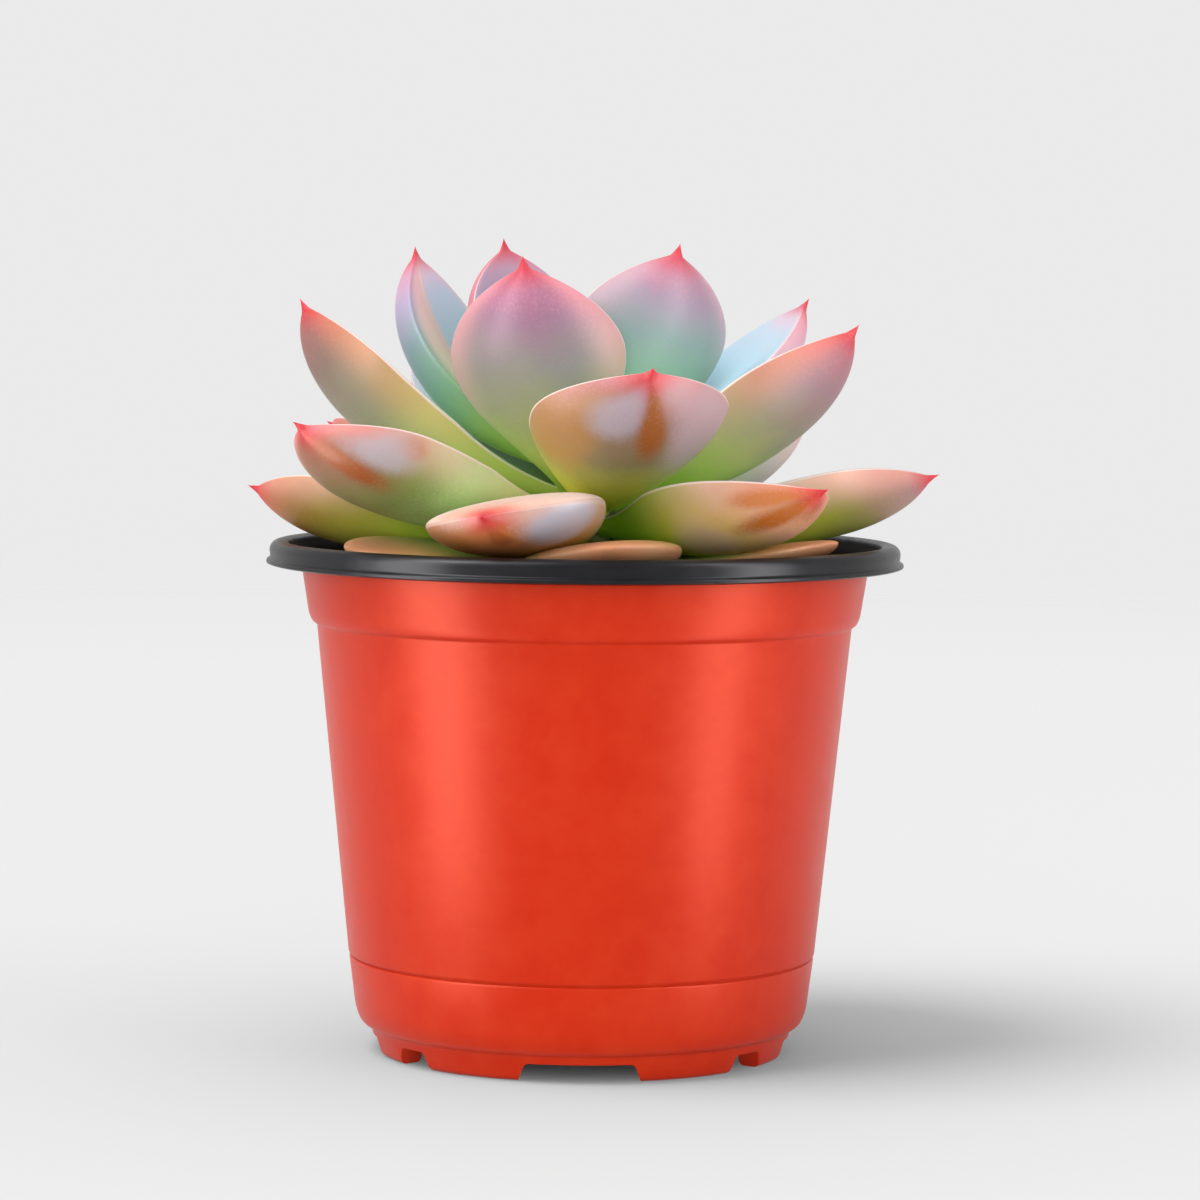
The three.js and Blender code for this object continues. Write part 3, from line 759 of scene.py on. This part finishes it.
# a uv sphere whose poles are the leaf's foot and tip; leafPlace holds across, along and face side
def addLeaf(bm, leaf, sides, rings, seed):
    s = leafShape
    layer = bm.verts.layers.float_vector["leafPlace"]
    made = bmesh.ops.create_uvsphere(bm, u_segments=sides, v_segments=rings, radius=1.0)["verts"]
    azimuth = math.radians(leaf["azimuth"])
    outward = Vector((math.cos(azimuth), math.sin(azimuth), 0))
    sideways = Vector((-math.sin(azimuth), math.cos(azimuth), 0))
    total = 1 + (s["spike"] if leaf.get("spike", 1) else 0) / leaf["length"]
    for vert in made:
        turn = math.acos(max(min(-vert.co.z, 1), -1)) / math.pi
        share = (total + s["footReach"]) * (turn - s["endRings"] * math.sin(2 * math.pi * turn))
        share -= s["footReach"]
        around = math.atan2(vert.co.y, vert.co.x)
        closing = min(turn * rings / s["closing"], 1)
        half, thick = halfWidthAt(share, leaf) * closing, thicknessAt(share, leaf) * closing
        cosine, sine = math.cos(around), math.sin(around)
        edge = leaf.get("edge", s["edge"])
        if sine < 0:
            edge += s["sharperTip"] * smooth(0.45, 0.95, share)
        facing = leaf.get("upperShare", s["upperShare"]) if sine > 0 else 1 - s["innerFaceShare"]
        ripple = noise.noise(Vector((share * 4, cosine * 1.5, seed)))
        side = half * cosine * (1 + s["wobble"] * ripple)
        cup = leaf.get("hollow", s["hollow"]) * half * (cosine ** 2 - 0.35)
        above = cup + facing * thick * math.copysign(abs(sine) ** edge, sine)
        twist = math.radians(leaf.get("twist", 0)) * min(max(share, 0) / s["twistShare"], 1)
        across = side * math.cos(twist) - above * math.sin(twist)
        inward = side * math.sin(twist) + above * math.cos(twist)
        out, up, slope = spineAt(share, leaf)
        vert.co = (outward * (out - inward * math.sin(slope)) + sideways * across
                   + Vector((0, 0, up + inward * math.cos(slope)))) * mm
        vert[layer] = Vector((cosine, share / total, sine))


# where a spot of the skin lies on its leaf, and the noises that all parts of its look share
def leafPatterns(tree, seed):
    f = leafFinish
    place = addNode(tree, "Attribute", {"attribute_name": "leafPlace"}).outputs["Vector"]
    parts = addNode(tree, "SeparateXYZ", {}, {0: place})
    where = addNode(tree, "Mapping", {"Location": (seed * 0.013, 0, 0)},
                    {"Vector": addNode(tree, "TexCoord").outputs["Object"]}).outputs[0]
    cloud = addNode(tree, "TexNoise",
                    {"Scale": 1 / (f["cloud"] * mm), "Detail": 3.0, "Roughness": 0.55},
                    {"Vector": where}).outputs["Fac"]
    fleck = addNode(tree, "TexNoise",
                    {"Scale": 1 / (f["fleck"] * mm), "Detail": 2.0, "Roughness": 0.7},
                    {"Vector": where}).outputs["Fac"]
    broad = addNode(tree, "Math", {"operation": "MULTIPLY_ADD", 1: 0.16, 2: -0.08}, {0: cloud})
    fine = addNode(tree, "Math", {"operation": "MULTIPLY_ADD", 1: 0.12, 2: -0.06}, {0: fleck})
    drift = addNode(tree, "Math", {"operation": "ADD"}, {0: broad.outputs[0], 1: fine.outputs[0]})
    across, along, side = parts.outputs
    return {"place": place, "across": across, "along": along, "side": side,
            "cloud": cloud, "fleck": fleck, "drift": drift.outputs[0]}


# the side of the leaf, above 0 on its upper face, with the outside turned over one edge by wrap
def turnedSide(tree, look, at):
    turn = math.radians(look["wrap"])
    nearSide = addNode(tree, "Math", {"operation": "MAXIMUM", 1: 0.0}, {0: at["across"]})
    turned = addNode(tree, "Math", {"operation": "MULTIPLY", 1: math.cos(turn)}, {0: at["side"]})
    return addNode(tree, "Math", {"operation": "MULTIPLY_ADD", 1: -math.sin(turn)},
                   {0: nearSide.outputs[0], 2: turned.outputs[0]}).outputs[0]


# colours along the leaf: the outside runs from its middle to its edges, the upper face has its own
def leafColours(tree, look, at, upper):
    level = addNode(tree, "Math", {"operation": "ADD"}, {0: at["along"], 1: at["drift"]})
    ramps = {}
    for part, positions in stopsAt.items():
        ramps[part] = addNode(tree, "ValToRGB", {}, {0: level.outputs[0]})
        setStops(ramps[part], list(zip(positions, look[part])))
    squared = addNode(tree, "Math", {"operation": "MULTIPLY"}, {0: upper, 1: upper})
    toEdge = addNode(tree, "Math", {"operation": "SUBTRACT", 0: 1.0}, {1: squared.outputs[0]})
    nearEdge = addNode(tree, "Math", {"operation": "ADD"}, {0: toEdge.outputs[0], 1: at["drift"]})
    edging = addNode(tree, "MapRange", {**eased, 1: 0.25, 2: 1.0, 3: 0.0, 4: 1.0},
                     {0: nearEdge.outputs[0]})
    outside = addNode(tree, "Mix", {"data_type": "RGBA"},
                      {0: edging.outputs[0], 6: ramps["middle"].outputs[0], 7: ramps["edges"].outputs[0]})
    face = addNode(tree, "MapRange", {**eased, 1: 0.0, 2: 0.22, 3: 0.0, 4: 1.0}, {0: upper})
    return addNode(tree, "Mix", {"data_type": "RGBA"},
                   {0: face.outputs[0], 6: outside.outputs[2], 7: ramps["inside"].outputs[0]}).outputs[2]


# ragged rubs on the outside; gives the rubbed skin and the first rub's amount, which is the glossy one
def rubbedSkin(tree, look, at, skin):
    firstAmount = None
    for spot, size, code, strength in look["rubs"]:
        away = addNode(tree, "VectorMath",
                       {"operation": "SUBTRACT", 1: (spot[0], spot[1], -0.8)}, {0: at["place"]})
        scaled = addNode(tree, "VectorMath",
                         {"operation": "MULTIPLY", 1: (1 / size[0], 1 / size[1], 0.0)},
                         {0: away.outputs[0]})
        reach = addNode(tree, "VectorMath", {"operation": "LENGTH"}, {0: scaled.outputs[0]})
        ragged = addNode(tree, "Math", {"operation": "MULTIPLY_ADD", 1: 5.0},
                         {0: at["drift"], 2: reach.outputs["Value"]})
        worn = addNode(tree, "MapRange", {**eased, 1: 1.4, 2: 0.45, 3: 0.0, 4: strength},
                       {0: ragged.outputs[0]})
        under = addNode(tree, "MapRange", {1: 0.15, 2: -0.1, 3: 0.0, 4: 1.0}, {0: at["side"]})
        amount = addNode(tree, "Math", {"operation": "MULTIPLY"},
                         {0: worn.outputs[0], 1: under.outputs[0]}).outputs[0]
        skin = addNode(tree, "Mix", {"data_type": "RGBA", 7: colour(code)},
                       {0: amount, 6: skin}).outputs[2]
        if firstAmount is None:
            firstAmount = amount
    return skin, firstAmount


# pale line along the margin, partly the margin's own pale skin and partly a painted highlight of light
# through the thin edge; red point and a thin dust of bloom over everything
def marginTipAndBloom(tree, look, length, at, upper, skin):
    f = leafFinish
    # partly painted highlight: the margin is lightened towards a near white
    offEdge = addNode(tree, "Math", {"operation": "ABSOLUTE"}, {0: upper})
    pale = addNode(tree, "MapRange", {**eased, 1: 0.11, 2: 0.03, 3: 0.0, 4: look["line"]},
                   {0: offEdge.outputs[0]})
    lined = addNode(tree, "Mix", {"data_type": "RGBA", 7: colour(f["paleMarginAndHighlight"])},
                    {0: pale.outputs[0], 6: skin})
    tipStart = 1 - f["tipLength"] / length
    red = addNode(tree, "MapRange", {**eased, 1: tipStart, 2: 0.985, 3: 0.0, 4: 0.95},
                  {0: at["along"]})
    tipped = addNode(tree, "Mix", {"data_type": "RGBA", 7: colour(look["tip"])},
                     {0: red.outputs[0], 6: lined.outputs[2]})
    dustAndShade = addNode(tree, "MapRange", {1: 0.5, 2: 0.75, 3: 0.0, 4: f["bloom"]}, {0: at["fleck"]})
    return addNode(tree, "Mix", {"data_type": "RGBA", 7: colour(f["bloomColour"])},
                   {0: dustAndShade.outputs[0], 6: tipped.outputs[2]}).outputs[2]


# living leaf skin: smooth waxy cuticle under a thin dust of pale bloom that dulls it, and colours
# that run from the green foot to the coral tip and rosy margins; bare where the bloom is rubbed off.
# The foot's colours are painted lighter, as painted light against the shade there, and the pale
# margin line is partly a painted highlight
def leafSkin(name, look, length, seed):
    f = leafFinish
    material, tree, shader = newMaterial(name)
    at = leafPatterns(tree, seed)
    upper = turnedSide(tree, look, at)
    skin = leafColours(tree, look, at, upper)
    skin, rubbed = rubbedSkin(tree, look, at, skin)
    skin = marginTipAndBloom(tree, look, length, at, upper, skin)
    low, high = f["roughness"]
    gloss = addNode(tree, "MapRange", {1: 0.3, 2: 0.7, 3: low, 4: high},
                    {0: at["fleck"]}).outputs[0]
    if rubbed is not None:
        gloss = addNode(tree, "Mix", {"data_type": "FLOAT", 3: f["wornRoughness"]},
                        {0: rubbed, 2: gloss}).outputs[0]
    swell = addNode(tree, "Bump", {"Strength": 0.3, "Distance": f["swell"] * mm},
                    {"Height": at["cloud"]})
    powder = addNode(tree, "Bump", {"Strength": 0.2, "Distance": f["powder"] * mm},
                     {"Height": at["fleck"], "Normal": swell.outputs[0]})
    setNode(tree, shader, {"IOR": 1.4, "Specular IOR Level": 0.4, "Subsurface Weight": f["flesh"],
                           "Subsurface Radius": f["fleshRadius"],
                           "Subsurface Scale": f["fleshDepth"] * mm},
            {"Base Color": skin, "Roughness": gloss, "Normal": powder.outputs[0]})
    return material


def buildLeaves():
    for seed, (node, leaf) in enumerate(leaves.items()):
        own = oldLook if node.startswith("ground") else looks.get(node, {})
        look = {**plainLook, **own}
        bm = bmesh.new()
        bm.verts.layers.float_vector.new("leafPlace")
        addLeaf(bm, leaf, leafShape["sides"], leafShape["rings"], seed)
        bmesh.ops.recalc_face_normals(bm, faces=bm.faces)
        skin = leafSkin("leaf skin, " + node, look, leaf["length"], seed)
        addPiece(node + "_skin", bm, skin, [node])


buildLeaves()
print("leaves:", len(leaves), "made")


# heart: young leaves round the growing tip

heart = {
    "count": 11,
    "firstAzimuth": 20,
    "goldenAngle": 137.5,
    "foot": 1.2,
    "height": 19,
    "lift": (70, 76),
    "length": 15,
    "width": 8.6,
    "thickness": 3.2,
    # what each leaf adds to these, counted from the first
    "steps": {"height": 0.45, "lift": 0.9, "length": -0.65, "width": -0.3, "thickness": -0.1},
    "sides": 24,
    "rings": 32,
    "coreSides": 32,
    "seed": 40,
    "skinSeed": 31,
    # the solid middle that the young leaves grow from, as (radius, height)
    "core": [(0, 103.5), (1.7, 103.5), (2.3, 105.0), (2.6, 107.5), (2.9, 110.5), (2.6, 113.5),
             (1.6, 116.0), (0, 117.0)],
}
heartLook = {
    **plainLook,
    "middle": ["#A8C870", "#B4C890", "#B8C4A4", "#BCBAB0", "#CCA8B0", "#E88C94"],
    "edges": ["#C4D498", "#D0CCB0", "#DCB0B0", "#E88C94"],
}


# each young leaf is a little higher, steeper and smaller than the one before
def buildHeart():
    h, step = heart, heart["steps"]
    bm = turnProfile(h["core"], h["coreSides"])
    bm.verts.layers.float_vector.new("leafPlace")
    for i in range(h["count"]):
        young = {key: h[key] + step[key] * i for key in ("height", "length", "width", "thickness")}
        young["lift"] = tuple(a + step["lift"] * i for a in h["lift"])
        young["azimuth"] = h["firstAzimuth"] + h["goldenAngle"] * i
        young["foot"] = h["foot"]
        addLeaf(bm, young, h["sides"], h["rings"], h["seed"] + i)
    bmesh.ops.recalc_face_normals(bm, faces=bm.faces)
    skin = leafSkin("leaf skin, heart", heartLook, h["length"], h["skinSeed"])
    addPiece("heart_skin", bm, skin, ["heart"])


# how wide the scars are, and colours from scar to bare bark
stemBark = {"rings": 9, "colours": [(0.1, "#5A4A26"), (0.5, "#7D8A4A"), (0.9, "#93A05C")]}


# stem bark: dry, brown-green, ringed by the scars of fallen leaves
def stemMaterial():
    material, tree, shader = newMaterial("young bark with leaf scars")
    place = addNode(tree, "TexCoord").outputs["Object"]
    rings = addNode(tree, "TexWave",
                    {"bands_direction": "Z", "Scale": 1 / (stemBark["rings"] * mm), "Distortion": 3.0,
                     "Detail": 3.0}, {"Vector": place})
    tone = addNode(tree, "ValToRGB", {}, {0: rings.outputs["Fac"]})
    setStops(tone, stemBark["colours"])
    bump = addNode(tree, "Bump", {"Strength": 0.6, "Distance": 0.3 * mm},
                   {"Height": rings.outputs["Fac"]})
    setNode(tree, shader, {"Roughness": 0.75}, {"Base Color": tone.outputs[0], "Normal": bump.outputs[0]})
    return material


buildHeart()
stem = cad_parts["stem"]
stem.data.materials.clear()
stem.data.materials.append(stemMaterial())
print("heart and stem made")


# floor, lights and camera

studio = {
    "floorRadius": 1.5,
    "floorFade": (0.7, 1.45),
    "floorColour": "#E6E6E6",
    "horizon": 0.823,
    "overhead": 0.62,
    "aim": (0.0, 0.0, 0.06),
    # direction as azimuth from the front towards the right and height, in degrees
    "sun": {"from": (-65, 60), "angle": 36, "strength": 1.4},
    # panels light everything from far off, each with its direction, size and glow
    "panelDistance": 3.0,
    "panels": [("panelLeft", (-60, 9), (1.3, 1.5), 2.0), ("panelRight", (60, 9), (1.3, 1.5), 2.0),
               ("panelFront", (6, 5), (2.6, 0.8), 2.8)],
    # upright strips stand by the pot and only give it its two highlights
    "stripDistance": 0.105,
    "stripLift": 0.002,
    "strips": [("stripLeft", -50.5, (0.038, 0.21), 9.5), ("stripRight", 49.5, (0.031, 0.21), 9.0)],
    "camera": {"place": (0.00265, -0.790, 0.1325), "pitch": -3.93, "roll": 0.56, "lens": 137.3},
}


# a place that far from the aim, facing it
def placeFrom(azimuth, height, distance):
    turn, rise = math.radians(azimuth), math.radians(height)
    away = Vector((math.sin(turn) * math.cos(rise), -math.cos(turn) * math.cos(rise), math.sin(rise)))
    aim = Vector(studio["aim"])
    return Matrix.Translation(aim + away * distance) @ away.to_track_quat("Z", "Y").to_matrix().to_4x4()


def addLamp(name, kind, matrix):
    holder = bpy.data.objects.new(name, bpy.data.lights.new(name, kind))
    holder.matrix_world = matrix
    holder.visible_camera = False
    scene.collection.objects.link(holder)
    return holder


# a rectangle that glows evenly, so its power grows with its area
def addPanel(name, matrix, size, glow):
    holder = addLamp(name, "AREA", matrix)
    lamp = holder.data
    lamp.shape = "RECTANGLE"
    lamp.size, lamp.size_y = size
    lamp.energy = glow * math.pi * lamp.size * lamp.size_y
    return holder


# matt white paper that fades out before its edge, so that it meets the background without a line
def floorMaterial():
    s = studio
    material, tree, shader = newMaterial("matt white paper")
    place = addNode(tree, "TexCoord").outputs["Object"]
    far = addNode(tree, "VectorMath", {"operation": "LENGTH"}, {0: place})
    start, end = s["floorFade"]
    fade = addNode(tree, "MapRange", {**eased, 1: start, 2: end, 3: 1.0, 4: 0.0},
                   {0: far.outputs["Value"]})
    setNode(tree, shader, {"Base Color": colour(s["floorColour"]), "Roughness": 1.0,
                           "Specular IOR Level": 0.0}, {"Alpha": fade.outputs[0]})
    return material


def buildFloor():
    bm = bmesh.new()
    bmesh.ops.create_circle(bm, cap_ends=True, segments=96, radius=studio["floorRadius"])
    mesh = bpy.data.meshes.new("floor")
    bm.to_mesh(mesh)
    bm.free()
    floor = bpy.data.objects.new("floor", mesh)
    scene.collection.objects.link(floor)
    mesh.materials.append(floorMaterial())


# pale all round at eye level, softer overhead
def buildWorld():
    world = bpy.data.worlds.new("studio")
    world.use_nodes = True
    tree = world.node_tree
    up = addNode(tree, "SeparateXYZ", {},
                 {0: addNode(tree, "TexCoord").outputs["Generated"]})
    level = addNode(tree, "MapRange",
                    {**eased, 1: 0.18, 2: 0.6, 3: studio["horizon"], 4: studio["overhead"]},
                    {0: up.outputs[2]})
    background = tree.nodes["Background"]
    background.inputs["Color"].default_value = (1, 1, 1, 1)
    tree.links.new(level.outputs[0], background.inputs["Strength"])
    scene.world = world


def buildLights():
    s = studio
    sun = addLamp("softSun", "SUN", placeFrom(*s["sun"]["from"], 2.0)).data
    sun.angle, sun.energy = math.radians(s["sun"]["angle"]), s["sun"]["strength"]
    for name, direction, size, glow in s["panels"]:
        panel = addPanel(name, placeFrom(*direction, s["panelDistance"]), size, glow)
        panel.visible_glossy = False
    for name, azimuth, size, glow in s["strips"]:
        matrix = placeFrom(azimuth, 0, s["stripDistance"])
        matrix.translation.z = size[1] / 2 + s["stripLift"]
        addPanel(name, matrix, size, glow).visible_diffuse = False


def buildCamera():
    view = studio["camera"]
    lens = bpy.data.cameras.new("camera")
    lens.sensor_width = 36.0
    lens.lens = view["lens"]
    lens.clip_start, lens.clip_end = 0.01, 50.0
    camera = bpy.data.objects.new("camera", lens)
    tilt = Matrix.Rotation(math.radians(90 + view["pitch"]), 4, "X")
    roll = Matrix.Rotation(math.radians(view["roll"]), 4, "Z")
    camera.matrix_world = Matrix.Translation(view["place"]) @ tilt @ roll
    scene.collection.objects.link(camera)
    scene.camera = camera
    scene.view_settings.view_transform = "Standard"


buildFloor()
buildWorld()
buildLights()
buildCamera()
print("studio: floor, lights and camera placed")
